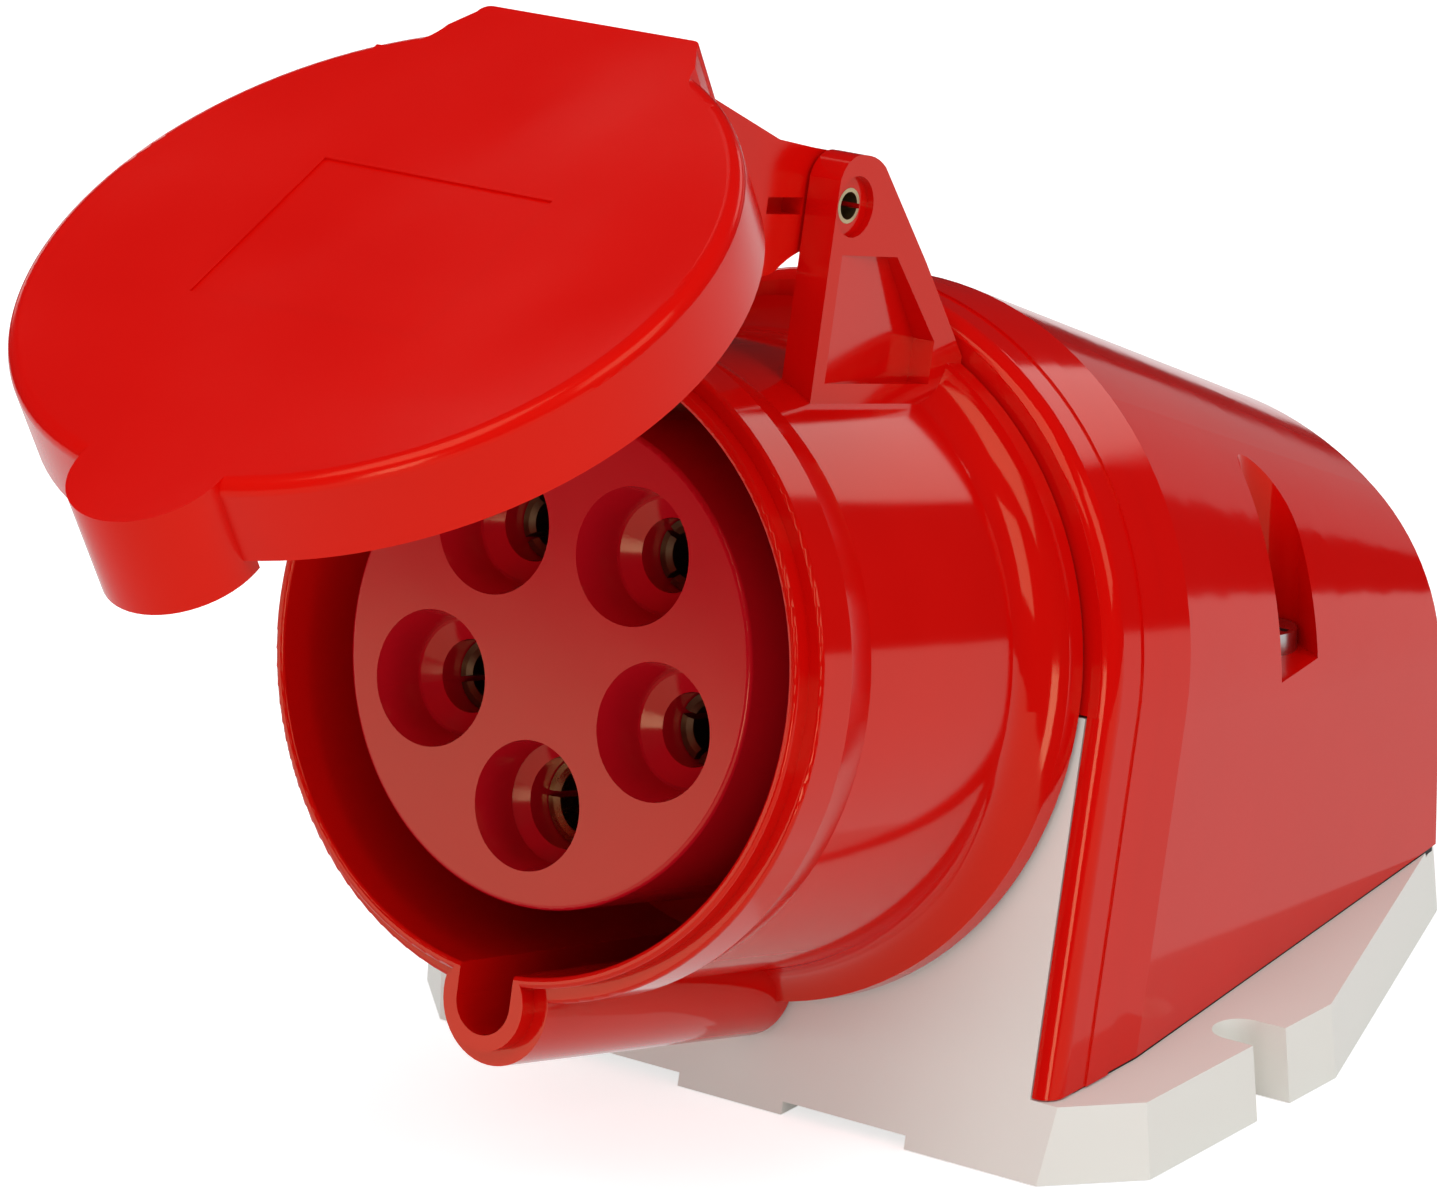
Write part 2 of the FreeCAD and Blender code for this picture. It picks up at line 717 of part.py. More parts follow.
def make_contact(name, angle, bore, outer):
    """A slit brass sleeve with a shoulder, a neck and a terminal block behind the retainer."""
    frame = outlet_frame.then(Frame((s.pole_circle_radius * cosine(angle),
                                     s.pole_circle_radius * sine(angle), 0), (0, 0, 1), angle))
    piece = Piece(name, frame)
    side = piece.axial("side")
    neck = outer - s.neck_step
    shoulder = outer + s.shoulder_width
    shoulder_front = carrier_back - s.shoulder_thickness
    bore_end = s.sleeve_front + s.sleeve_bore_depth
    lead_in = 0.5
    outline(side, [
        (bore + lead_in, -s.sleeve_front), (outer, -s.sleeve_front), (outer, -shoulder_front),
        (shoulder, -shoulder_front), (shoulder, -carrier_back), (neck, -carrier_back),
        (neck, -terminal_front), (0, -terminal_front), (0, -bore_end), (bore, -bore_end),
        (bore, -s.sleeve_front - lead_in)])
    piece.turn("turned", side)
    block = piece.across("block", -terminal_front)
    half = s.terminal_width / 2
    outline(block, [(half, -half), (half, half), (-half, half), (-half, -half)])
    piece.pad("block", block, s.terminal_length, back=True)
    for number, plane in enumerate((piece.upright("slit_one"), piece.axial("slit_two"))):
        across = 2 * outer
        slit_end = s.sleeve_front + s.sleeve_slit_length
        outline(plane, [(outer, -s.sleeve_front + 1), (outer, -slit_end), (-outer, -slit_end),
                        (-outer, -s.sleeve_front + 1)])
        piece.pocket(f"slit_{number}", plane, s.sleeve_slit, even=True)
    wire = piece.across("wire", -terminal_back)
    circle(wire, 0, 0, s.conductor_radius)
    piece.pocket("wire", wire, s.terminal_length - 1, ahead=True)
    for number in range(2):
        screw = piece.upright(f"screw_{number}", half)
        circle(screw, 0, -clamp_depth(number), s.clamp_screw_radius + s.screw_fit)
        piece.pocket(f"screw_{number}", screw, half)
    return piece.body


def clamp_depth(number):
    middle = (terminal_front + terminal_back) / 2
    return middle + (number - 0.5) * s.clamp_screw_spacing


def make_terminal_screws():
    """Two set screws in each terminal block, slotted outwards."""
    frame = outlet_frame.then(Frame((0, 0, 0), (0, 0, 1), s.first_pole_angle))
    piece = Piece("terminal_screws", frame)
    start = s.pole_circle_radius + s.conductor_radius
    parts = []
    for number in range(2):
        shank = piece.upright(f"shank_{number}", start)
        circle(shank, 0, -clamp_depth(number), s.clamp_screw_radius)
        parts.append(piece.pad(f"shank_{number}", shank, s.clamp_screw_length))
        slot = piece.upright(f"slot_{number}", start + s.clamp_screw_length)
        outline(slot, [(2, -clamp_depth(number) - 0.3), (2, -clamp_depth(number) + 0.3),
                       (-2, -clamp_depth(number) + 0.3), (-2, -clamp_depth(number) - 0.3)])
        parts.append(piece.pocket(f"slot_{number}", slot, 0.8))
    centre = piece.across("centre")
    circle(centre, 0, 0, 1)
    pattern = piece.repeat("screws", parts, 5, 4 * s.pole_step)
    pattern.Axis = (centre, ["N_Axis"])
    return piece.body


def make_hinge_pin():
    """Rolled pin: a tube with a slit along it."""
    piece = Piece("hinge_pin", outlet_frame.then(to_hinge))
    ring = piece.upright("ring")
    circle(ring, 0, 0, s.pin_radius)
    circle(ring, 0, 0, s.pin_bore_radius)
    length = 2 * (s.ear_gap_half + s.ear_thickness - s.eye_depth)
    piece.pad("ring", ring, length, even=True)
    slit = piece.across("slit")
    half = s.pin_slit / 2
    outline(slit, [(length, -half), (length, half), (-length, half), (-length, -half)])
    piece.pocket("slit", slit, s.pin_radius + 1)
    return piece.body


def make_lid():
    piece = Piece("lid", lid_frame, lid_datum)
    side = piece.axial("side")
    outline(side, [
        (0, -s.lid_drop), (s.lid_radius, -s.lid_drop), (s.lid_radius, s.lid_face - s.lid_edge),
        (s.lid_radius - s.lid_edge, s.lid_face, s.lid_edge), (0, s.lid_face)])
    piece.turn("turned", side, "V_Axis")

    tab = piece.across("tab", s.lid_face)
    tab_foot = s.tab_root_half_width + s.tab_fillet
    outline(tab, both_sides([
        (tab_foot, 20), (tab_foot, s.tab_root - 4.8), (s.tab_root_half_width, s.tab_root, -s.tab_fillet),
        (s.tab_half_width, s.tab_end - 1.2), (s.tab_half_width - 1.2, s.tab_end, 1.2)]))
    piece.pad("tab", tab, s.lid_face + s.lid_drop, back=True)

    knuckle = piece.upright("knuckle")
    inner = s.lid_radius - s.lid_wall + 0.3
    turned = s.knuckle_radius
    outline(knuckle, [
        (inner, -s.lid_drop + 1), (s.tab_end, -1), (s.hinge_up - 3.2, 9.8 - s.hinge_depth),
        (s.hinge_up + 2.6, 4.4 - s.hinge_depth), (s.hinge_up + turned, -s.hinge_depth, -turned),
        (s.hinge_up, -s.hinge_depth - turned, -turned), (s.hinge_up - 4.4, -s.hinge_depth - 2.9),
        (s.hinge_up - 8.4, -s.hinge_depth - 2, 12), (s.hinge_up - 13.2, 1.1 - s.hinge_depth, -5),
        (inner, 9.6 - s.hinge_depth)])
    piece.pad("knuckle", knuckle, 2 * s.knuckle_half_width, even=True)
    side_slot = piece.upright("side_slot", s.knuckle_half_width)
    along = (cosine(s.knuckle_slot_lean), -sine(s.knuckle_slot_lean))
    half = s.knuckle_slot_width / 2
    start = (s.hinge_up - 7.7, 4.9 - s.hinge_depth)
    end = [spot + s.knuckle_slot_length * step for spot, step in zip(start, along)]
    outline(side_slot, [
        (start[0] + half * along[1], start[1] - half * along[0]),
        (end[0] + half * along[1], end[1] - half * along[0]),
        (end[0] - half * along[1], end[1] + half * along[0]),
        (start[0] - half * along[1], start[1] + half * along[0])])
    side_slots = piece.pocket("side_slot", side_slot, s.knuckle_slot_depth)
    piece.mirror("side_slots", [side_slots])

    nose_inner = s.key_radius + s.key_wall + s.nose_fit
    nose = piece.across("nose", s.lid_face)
    circle(nose, 0, -s.key_centre, nose_inner + s.nose_wall)
    piece.pad("nose", nose, s.lid_face + s.nose_drop, back=True)

    cavity = piece.across("cavity", s.lid_face - s.lid_plate)
    circle(cavity, 0, 0, s.lid_radius - s.lid_wall)
    piece.pocket("cavity", cavity, s.lid_face + s.nose_drop)
    nose_cavity = piece.across("nose_cavity", s.lid_face - s.lid_plate)
    circle(nose_cavity, 0, -s.key_centre, nose_inner)
    piece.pocket("nose_cavity", nose_cavity, s.lid_face + s.nose_drop)

    pin_hole = piece.upright("pin_hole")
    circle(pin_hole, s.hinge_up, -s.hinge_depth, s.pin_radius + s.pin_turn_fit)
    piece.pocket("pin_hole", pin_hole, 4 * s.knuckle_half_width, even=True)
    panel = piece.across("panel", s.lid_face)
    outline(panel, [
        (s.panel_half_width, -s.panel_half_height), (s.panel_half_width, s.panel_half_height),
        (-s.panel_half_width, s.panel_half_height), (-s.panel_half_width, -s.panel_half_height)])
    piece.pocket("panel", panel, s.panel_depth)
    spring_pocket = piece.upright("spring_pocket")
    room = s.spring_pocket_radius
    outline(spring_pocket, [
        (s.hinge_up - s.spring_lid_leg - 1, -s.hinge_depth + room), (s.hinge_up, -s.hinge_depth + room),
        (s.hinge_up + room, -s.hinge_depth, -room), (s.hinge_up + room, -s.hinge_depth - 8),
        (s.hinge_up - s.spring_lid_leg - 1, -s.hinge_depth - 8)])
    piece.pocket("spring_pocket", spring_pocket, 2 * s.spring_pocket_half_width, even=True)
    return piece.body


def make_lid_gasket():
    piece = Piece("lid_gasket", lid_frame, lid_datum)
    ring = piece.across("ring", s.lid_gasket_gap)
    circle(ring, 0, 0, s.lid_gasket_outer)
    circle(ring, 0, 0, s.lid_gasket_inner)
    piece.pad("ring", ring, s.lid_face - s.lid_plate - s.lid_gasket_gap)
    return piece.body


def make_lid_spring():
    """Torsion spring round the hinge pin: a coil, a leg towards the barrel and a leg in the lid."""
    piece = Piece("lid_spring", outlet_frame.then(to_hinge))
    turns = s.coil_turns + (180 - s.lid_open) / 360
    start = -turns * s.coil_pitch / 2
    wire = piece.sketch("XZ_Plane", "wire", (0, 0, 0))
    circle(wire, start, -s.coil_radius, s.wire_radius)
    coil = piece.body.newObject("PartDesign::AdditiveHelix", "lid_spring_coil")
    coil.Profile = wire
    axis = next(item for item in piece.body.Origin.OriginFeatures if item.Role == "X_Axis")
    coil.ReferenceAxis = (axis, [""])
    coil.Mode = "pitch-turns-angle"
    bind(coil, "Pitch", s.coil_pitch)
    bind(coil, "Turns", turns)
    piece.pad("shell_leg", wire, s.spring_leg)
    lid_wire = piece.sketch("XZ_Plane", "lid_wire", (0, 0, 0), (-1, 0, 0), s.lid_open)
    circle(lid_wire, -start, s.coil_radius, s.wire_radius)
    piece.pad("lid_leg", lid_wire, s.spring_lid_leg)
    return piece.body


def make_base_box():
    piece = Piece("base_box")
    foot = piece.across("foot")
    outline(foot, both_sides([
        (s.foot_front_half_width, foot_front_y), (s.foot_shoulder_half_width, s.foot_shoulder_y),
        (s.foot_side_half_width, s.foot_side_y), (s.foot_rear_half_width, s.foot_rear_y),
        (s.foot_rear_half_width - 1.2, s.foot_end_y)]))
    pad = piece.pad("foot", foot, s.foot_height)
    bind(pad, "TaperAngle", -s.foot_draft)

    front = piece.leaning("front", s.wall_front)
    cut = s.neck_radius + s.neck_fit
    tip = root(cut * cut - s.neck_fit * s.neck_fit)
    foot_top = (s.foot_height - s.rim_height + s.wall_front * sine(s.lean)) / cosine(s.lean)
    sides = [(s.foot_front_half_width, foot_top - 12), (s.foot_front_half_width, foot_top - 2.5),
             (s.front_wall_half_width, foot_top - 0.5), (s.front_wall_half_width, -s.neck_fit)]
    others = [(-x, y) for x, y in reversed(sides)]
    outline(front, sides + [(tip, -s.neck_fit), (0, -cut, -cut), (-tip, -s.neck_fit, -cut)] + others)
    piece.pad("front", front, s.wall_thickness, back=True)
    ahead = piece.leaning("ahead", s.wall_front)
    outline(ahead, [(reach, -reach), (reach, reach), (-reach, reach), (-reach, -reach)])
    piece.pocket("ahead", ahead, reach, ahead=True)
    below = piece.across("below")
    outline(below, [(reach, -reach), (reach, reach), (-reach, reach), (-reach, -reach)])
    piece.pocket("below", below, reach)

    inside = piece.across("inside", box_floor_top)
    front_y = foot_front_y + 6
    crease_y = hood_crease_y()
    outline(inside, both_sides([
        (s.hood_radius - s.rim_width, front_y), (s.hood_radius - s.rim_width, crease_y),
        (s.hood_rear_half_width - s.rim_width, s.hood_rear_y - s.rim_width)]))
    piece.pocket("inside", inside, s.foot_height, ahead=True)

    seat = piece.across("seat", s.hood_bottom - s.hood_gasket_thickness)
    outline(seat, both_sides([
        (s.hood_radius, front_y), (s.hood_radius, crease_y), (s.hood_rear_half_width, s.hood_rear_y)]))
    piece.pocket("seat", seat, 5, ahead=True)

    recess = piece.across("recess")
    outline(recess, both_sides([
        (33, foot_front_y + 5), (33, crease_y), (s.hood_rear_half_width - 6, s.hood_rear_y - 4)]))
    piece.pocket("recess", recess, s.box_floor_bottom, ahead=True)
    gap = piece.across("gap")
    outline(gap, [(s.gap_half_width, -40), (s.gap_half_width, foot_front_y + 6),
                  (s.pad_half_width, foot_front_y + 6), (s.pad_half_width, -40)])
    gaps = piece.pocket("gap", gap, s.box_floor_bottom, ahead=True)
    slot = piece.across("slot")
    half = s.slot_width / 2
    middle = s.slot_spacing / 2
    outline(slot, [(55, -half), (55, half), (middle, half), (middle - half, 0, half), (middle, -half, half)])
    slots = piece.pocket("slot", slot, 20, ahead=True)
    boss = piece.across("boss", box_floor_top)
    circle(boss, s.well_x, s.well_y, s.boss_radius)
    bosses = piece.pad("boss", boss, s.hood_bottom - s.hood_gasket_thickness - box_floor_top)
    hole = piece.across("hole", s.long_screw_end - 0.7)
    circle(hole, s.well_x, s.well_y, s.long_screw_radius + s.screw_fit)
    holes = piece.pocket("hole", hole, s.foot_height, ahead=True)
    piece.mirror("pairs", [gaps, slots, bosses, holes])
    return piece.body


def hood_crease_y():
    """Where the crease plane meets the foot, in y."""
    return (s.hood_crease - (s.rim_height - s.hood_bottom) * sine(s.lean)) / cosine(s.lean) - s.rim_forward


def hood_form(name, shrink, ahead):
    """The hood's form: straight along the outlet's axis, then ruled back to the rear arch. The outer form
    has a low lip and a low band round its front, and a rounded front edge."""
    piece = Piece(name)
    corner_shift = s.hood_rear_half_width - s.hood_rear_corner_radius
    radius_gap = s.hood_rear_top_radius - s.hood_rear_corner_radius
    turn_x = corner_shift / radius_gap
    turn_y = root(1 - turn_x * turn_x)
    radius = s.hood_radius - shrink

    def arch(label, depth, size):
        sketch = piece.leaning(label, depth)
        half = [(size, -reach), (size, 0), (size * turn_x, size * turn_y, size)]
        outline(sketch, both_sides(half, size))
        return sketch

    if ahead.number:
        front = arch("front", s.wall_front - ahead, radius)
        piece.pad("straight", front, s.hood_crease - s.wall_front + ahead, back=True)
    else:
        lip = arch("lip", s.wall_front, radius + s.hood_lip_height)
        lip_pad = piece.pad("lip", lip, s.hood_lip_end - s.wall_front, back=True)
        document.recompute()
        normal = Vector(0, -math.cos(math.radians(s.lean.number)), math.sin(math.radians(s.lean.number)))
        rim = Vector(0, -s.rim_forward.number, s.rim_height.number)
        round_edges(piece, "front_round", lip_pad, rim - normal * s.wall_front.number, normal,
                    s.hood_front_round)
        band = arch("band", s.hood_lip_end, radius + s.hood_band_height)
        piece.pad("band", band, s.hood_band_end - s.hood_lip_end, back=True)
        front = arch("front", s.hood_band_end, radius)
        piece.pad("straight", front, s.hood_crease - s.hood_band_end, back=True)
    crease = arch("crease", s.hood_crease, radius)
    rear = piece.sketch("XZ_Plane", "rear", (0, 0, shrink - s.hood_rear_y))
    top_radius = s.hood_rear_top_radius - shrink
    corner_radius = s.hood_rear_corner_radius - shrink
    top_centre = s.hood_rear_top - s.hood_rear_top_radius
    side_top = top_centre + radius_gap * turn_y
    rear_half = [
        (s.hood_rear_half_width - shrink, s.hood_rear_top - reach),
        (s.hood_rear_half_width - shrink, side_top),
        (top_radius * turn_x, top_centre + top_radius * turn_y, corner_radius)]
    outline(rear, both_sides(rear_half, top_radius))
    loft = piece.body.newObject("PartDesign::AdditiveLoft", f"{name}_loft")
    loft.Profile = crease
    loft.Sections = [rear]
    loft.Ruled = True
    return piece.body


def round_edges(piece, name, base, point, normal, radius):
    """Round the edges of a feature that lie in one plane and above the wall."""
    names = []
    for number, edge in enumerate(base.Shape.Edges, start=1):
        spots = [edge.valueAt(edge.FirstParameter + share * (edge.LastParameter - edge.FirstParameter))
                 for share in (0, 0.5, 1)]
        if all(abs((spot - point).dot(normal)) < 1e-5 for spot in spots) and max(spot.z for spot in spots) > 0:
            names.append(f"Edge{number}")
    item = piece.body.newObject("PartDesign::Fillet", f"{piece.name}_{name}")
    item.Base = (base, names)
    bind(item, "Radius", radius)
    return item


def cylinder(name, radius, height, frame):
    item = document.addObject("Part::Cylinder", name)
    bind(item, "Radius", radius)
    bind(item, "Height", height)
    frame.set_on(item)
    return item


def cut(name, base, tool):
    item = document.addObject("Part::Cut", name)
    item.Base = base
    item.Tool = tool
    return item


def fuse(name, shapes):
    item = document.addObject("Part::MultiFuse", name)
    item.Shapes = shapes
    return item


def well_outline(sketch, radius):
    """A trough from a round end at the long screw's axis, out through the hood's side and a little forward."""
    along = (cosine(s.well_lean), -sine(s.well_lean))
    across = (-radius * along[1], radius * along[0])
    far = (s.well_x + s.hood_radius * along[0], s.well_y + s.hood_radius * along[1])
    outline(sketch, [
        (far[0] - across[0], far[1] - across[1]), (far[0] + across[0], far[1] + across[1]),
        (s.well_x + across[0], s.well_y + across[1]),
        (s.well_x - radius * along[0], s.well_y - radius * along[1], radius),
        (s.well_x - across[0], s.well_y - across[1], radius)])


def make_hood():
    outer = hood_form("hood_outer", as_size(0), as_size(0))
    inner = hood_form("hood_inner", s.hood_wall, as_size(1))
    columns = Piece("hood_columns")
    column = columns.across("column")
    well_outline(column, s.well_radius + s.column_wall)
    columns.mirror("pair", [columns.pad("column", column, reach)])
    wells = Piece("hood_wells")
    well = wells.across("well", s.well_floor)
    well_outline(well, s.well_radius)
    well_pad = wells.pad("well", well, reach)
    screw_way = wells.across("screw_way")
    circle(screw_way, s.well_x, s.well_y, s.long_screw_hole_radius)
    wells.mirror("pair", [well_pad, wells.pad("screw_way", screw_way, s.well_floor)])
    space = cut("hood_space", inner, columns.body)
    walls = cut("hood_walls", outer, space)

    web = Piece("hood_web")
    ring = web.leaning("ring", s.wall_front)
    inner_radius = s.neck_radius + s.neck_fit
    outer_radius = s.hood_radius - s.hood_wall / 2
    outline(ring, [
        (inner_radius, 0, -inner_radius), (outer_radius, 0), (0, outer_radius, outer_radius),
        (-outer_radius, 0, outer_radius), (-inner_radius, 0), (0, inner_radius, -inner_radius)])
    web.pad("ring", ring, s.wall_thickness, back=True)

    below = document.addObject("Part::Box", "hood_below")
    for side in ("Length", "Width", "Height"):
        bind(below, side, 3 * reach)
    Frame((-1.5 * reach, -1.5 * reach, s.hood_bottom - 3 * reach)).set_on(below)
    entry = cylinder("hood_entry", s.gland_thread_radius + s.gland_hole_fit, 20,
                     Frame((0, s.hood_rear_y - 10, s.gland_height), (-1, 0, 0), 90))
    tools = fuse("hood_cuts", [wells.body, below, entry])
    hood = cut("hood", fuse("hood_shell", [walls, web.body]), tools)
    hood.Label = "hood"
    return hood


def make_hood_gasket():
    """Flat seal between hood and foot."""
    piece = Piece("hood_gasket")
    base = s.hood_bottom - s.hood_gasket_thickness
    front_y = foot_front_y + 8
    crease_y = hood_crease_y()
    play = 0.3
    loop = piece.across("loop", base)
    outline(loop, both_sides([
        (s.hood_radius - play, front_y), (s.hood_radius - play, crease_y),
        (s.hood_rear_half_width - play, s.hood_rear_y - play)]))
    piece.pad("loop", loop, s.hood_gasket_thickness)
    width = s.hood_gasket_width
    inside = piece.across("inside", base)
    outline(inside, both_sides([
        (s.hood_radius - width, front_y - 5), (s.hood_radius - width, crease_y),
        (s.hood_rear_half_width - width, s.hood_rear_y - width)]))
    piece.pocket("inside", inside, 5, ahead=True)
    return piece.body


def make_hood_screws():
    piece = Piece("hood_screws")
    shank = piece.across("shank", s.long_screw_end)
    circle(shank, s.well_x, s.well_y, s.long_screw_radius)
    shanks = piece.pad("shank", shank, s.well_floor - s.long_screw_end)
    head = piece.across("head", s.well_floor)
    circle(head, s.well_x, s.well_y, s.long_head_radius)
    heads = piece.pad("head", head, s.long_head_height)
    slot = piece.across("slot", s.well_floor + s.long_head_height)
    reach = s.long_head_radius - 0.6
    outline(slot, [(s.well_x + reach, s.well_y - 0.4), (s.well_x + reach, s.well_y + 0.4),
                   (s.well_x - reach, s.well_y + 0.4), (s.well_x - reach, s.well_y - 0.4)])
    slots = piece.pocket("slot", slot, 1.2)
    piece.mirror("screws", [shanks, heads, slots])
    return piece.body


def gland_frame():
    """At the middle of the hood's rear wall, with z pointing away from the hood."""
    return Frame((0, s.hood_rear_y, s.gland_height), (-1, 0, 0), 90)


def make_gland_body():
    piece = Piece("gland_body", gland_frame())
    hex_part = piece.across("hex")
    outline(hex_part, hexagon(s.gland_hex))
    piece.pad("hex", hex_part, s.gland_hex_length)
    thread = piece.across("thread")
    circle(thread, 0, 0, s.gland_thread_radius)
    piece.pad("thread", thread, s.hood_wall + s.locknut_thickness + 2, back=True)
    sleeve = piece.across("sleeve", s.gland_hex_length)
    circle(sleeve, 0, 0, s.gland_sleeve_radius + 1)
    piece.pad("sleeve", sleeve, s.gland_sleeve_length)
    bore = piece.across("bore", s.gland_hex_length + s.gland_sleeve_length)
    circle(bore, 0, 0, s.gland_bore_radius)
    piece.pocket("bore", bore, 40)
    seat = piece.across("seat", s.gland_hex_length + s.gland_sleeve_length)
    circle(seat, 0, 0, s.gland_sleeve_radius - 1)
    piece.pocket("seat", seat, s.gland_sleeve_length)
    return piece.body


def make_gland_seal():
    piece = Piece("gland_seal", gland_frame())
    ring = piece.across("ring", s.gland_hex_length)
    circle(ring, 0, 0, s.gland_sleeve_radius - 1.05)
    circle(ring, 0, 0, s.gland_seal_bore_radius)
    piece.pad("ring", ring, s.gland_sleeve_length + 1.5)
    return piece.body


def make_gland_nut():
    """Hexagon nut with a domed front that presses on the seal."""
    piece = Piece("gland_nut", gland_frame())
    start = s.gland_hex_length + s.gland_nut_gap
    end = start + s.gland_nut_length
    hex_part = piece.across("hex", start)
    outline(hex_part, hexagon(s.gland_hex))
    piece.pad("hex", hex_part, s.gland_nut_length * 0.6)
    side = piece.axial("side")
    hex_end = start + s.gland_nut_length * 0.6
    reach = s.gland_hex / 2 - 0.3
    outline(side, [(0, hex_end - 1), (reach, hex_end - 1), (reach, hex_end),
                   (s.gland_seal_bore_radius + 2, end, s.gland_nut_length * 0.7), (0, end)])
    piece.turn("dome", side)
    hollow = piece.axial("hollow")
    inner = s.gland_sleeve_radius + 1 + s.gland_hole_fit
    seal_end = s.gland_hex_length + s.gland_sleeve_length + 1.5
    outline(hollow, [(0, start - 1), (inner, start - 1), (inner, seal_end - 1), (s.gland_sleeve_radius, seal_end),
                     (s.gland_bore_radius, seal_end), (s.gland_bore_radius, end + 1), (0, end + 1)])
    piece.groove("hollow", hollow)
    return piece.body


def make_gland_locknut():
    piece = Piece("gland_locknut", gland_frame())
    ring = piece.across("ring", -s.hood_wall)
    outline(ring, hexagon(s.locknut_hex))
    piece.pad("ring", ring, s.locknut_thickness, back=True)
    hole = piece.across("hole", -s.hood_wall)
    circle(hole, 0, 0, s.gland_thread_radius + s.gland_hole_fit)
    piece.pocket("hole", hole, s.locknut_thickness)
    return piece.body


def make_contacts():
    poles = ("contact_neutral", "contact_l3", "contact_l2", "contact_l1")
    made = []
    for number, name in enumerate(poles):
        angle = s.first_pole_angle + number * s.pole_step
        made.append(make_contact(name, angle, s.phase_bore_radius, phase_outer))
    angle = s.first_pole_angle - s.pole_step
    made.append(make_contact("contact_earth", angle, s.earth_bore_radius, earth_outer))
    return made


def check(nodes):
    """Stop if a feature failed, or a cut removed nothing, or a node is not a valid solid."""
    for item in document.Objects:
        if "Invalid" in item.State or "Error" in item.State:
            raise RuntimeError(f"{item.Name} failed: {item.State}")
        if item.TypeId in ("PartDesign::Pocket", "PartDesign::Groove"):
            before = item.BaseFeature.Shape.Volume
            if item.Shape.Volume > before - 1e-6:
                raise RuntimeError(f"{item.Name} cuts nothing")
    for node in nodes:
        if node.Shape.isNull() or not node.Shape.isValid() or not node.Shape.Solids:
            raise RuntimeError(f"{node.Label} is not a valid solid")


nodes = [
    make_base_box(), make_hood(), make_hood_gasket(), make_hood_screws(),
    make_socket_shell(), make_socket_gasket(), make_contact_carrier(), make_contact_retainer(),
    make_carrier_screws(), *make_contacts(), make_terminal_screws(),
    make_hinge_pin(), make_lid(), make_lid_gasket(), make_lid_spring(),
    make_gland_body(), make_gland_seal(), make_gland_nut(), make_gland_locknut(),
]
document.recompute()
check(nodes)
os.makedirs("parts", exist_ok=True)
for node in nodes:
    node.Shape.exportStep(f"parts/{node.Label}.step")
    print(node.Label, len(node.Shape.Solids), round(node.Shape.Volume, 1))
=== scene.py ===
"""Looks of an industrial wall socket: glossy red mouldings on a pale grey wall box."""
import math

import bpy
from mathutils import Matrix, Vector


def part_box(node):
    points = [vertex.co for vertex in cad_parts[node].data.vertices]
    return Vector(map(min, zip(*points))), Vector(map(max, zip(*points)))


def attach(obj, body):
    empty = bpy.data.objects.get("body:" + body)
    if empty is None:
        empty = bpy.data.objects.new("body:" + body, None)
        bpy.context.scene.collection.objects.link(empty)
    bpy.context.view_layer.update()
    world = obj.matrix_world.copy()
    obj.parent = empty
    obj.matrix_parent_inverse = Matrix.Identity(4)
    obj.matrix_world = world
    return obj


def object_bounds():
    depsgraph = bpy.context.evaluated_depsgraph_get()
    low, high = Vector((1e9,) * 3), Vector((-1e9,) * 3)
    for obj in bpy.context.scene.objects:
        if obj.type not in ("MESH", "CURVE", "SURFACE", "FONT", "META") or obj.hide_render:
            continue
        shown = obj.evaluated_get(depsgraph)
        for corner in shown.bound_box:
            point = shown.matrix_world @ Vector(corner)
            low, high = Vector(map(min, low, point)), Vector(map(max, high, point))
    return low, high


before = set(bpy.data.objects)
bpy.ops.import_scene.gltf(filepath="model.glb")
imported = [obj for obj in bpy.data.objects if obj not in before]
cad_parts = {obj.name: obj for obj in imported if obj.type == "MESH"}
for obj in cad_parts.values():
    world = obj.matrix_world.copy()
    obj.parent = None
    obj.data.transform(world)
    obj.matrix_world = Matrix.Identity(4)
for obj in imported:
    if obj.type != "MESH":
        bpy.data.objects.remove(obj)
cad_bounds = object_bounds()

# Camera, as the photograph was taken: a long lens from the right and a little above
VIEW_AZIMUTH = 37.30
VIEW_ELEVATION = 18.53
VIEW_ROLL = -0.66
VIEW_DISTANCE = 0.6936
VIEW_TARGET = Vector((0.0139, -0.0496, 0.06337))
VIEW_NEAR = 0.01
SENSOR_WIDTH = 36.0
LENS = 175.4

# The room: white all round for the camera, a plain level of light on the object, and for mirror-like
# rays the pale table up to its far edge, with a dim room above it
WHITE = (1.0, 1.0, 1.0)
TABLE_COLOR = (0.80, 0.80, 0.80)
TABLE_REACH = 0.62
TABLE_SIDES = 96
TABLE_GAP = 0.0001
TABLE_GLOW = 0.62
MIRRORED_TABLE = 0.85
WORLD_LEVEL = 0.56
MIRRORED_ROOM = 0.025

# How fine each grain is, in features to a metre
FLOW_CLOUDS = 45.0
SATIN_SKIN = 5200.0
SOFT_SINKS = 120.0
COOLING_WAVES = 26.0
TARNISH = 260.0
METAL_GRAIN = 9000.0
DUST = 700.0

# How much each grain shows: contrast in the colour, swing of the roughness, and share or strength of the
# bump. A plastic's swings are shares of its own roughness. The reliefs are in metres, and raggedness is how
# strong the finest part of the tarnish is
CLOUD_CONTRAST = 1.6
CLOUD_SWING = 0.35
SKIN_SWING = 0.2
SKIN_SHARE = 0.12
PLASTIC_RELIEF = 0.00012
TARNISH_RAGGEDNESS = 0.6
TARNISH_CONTRAST = 1.8
TARNISH_SWING = 0.18
GRAIN_SWING = 0.1
GRAIN_BUMP = 0.18
METAL_RELIEF = 0.00003
RUBBER_ROUGHNESS = 0.55
DUST_SWING = 0.2
DUST_BUMP = 0.2
RUBBER_RELIEF = 0.00005

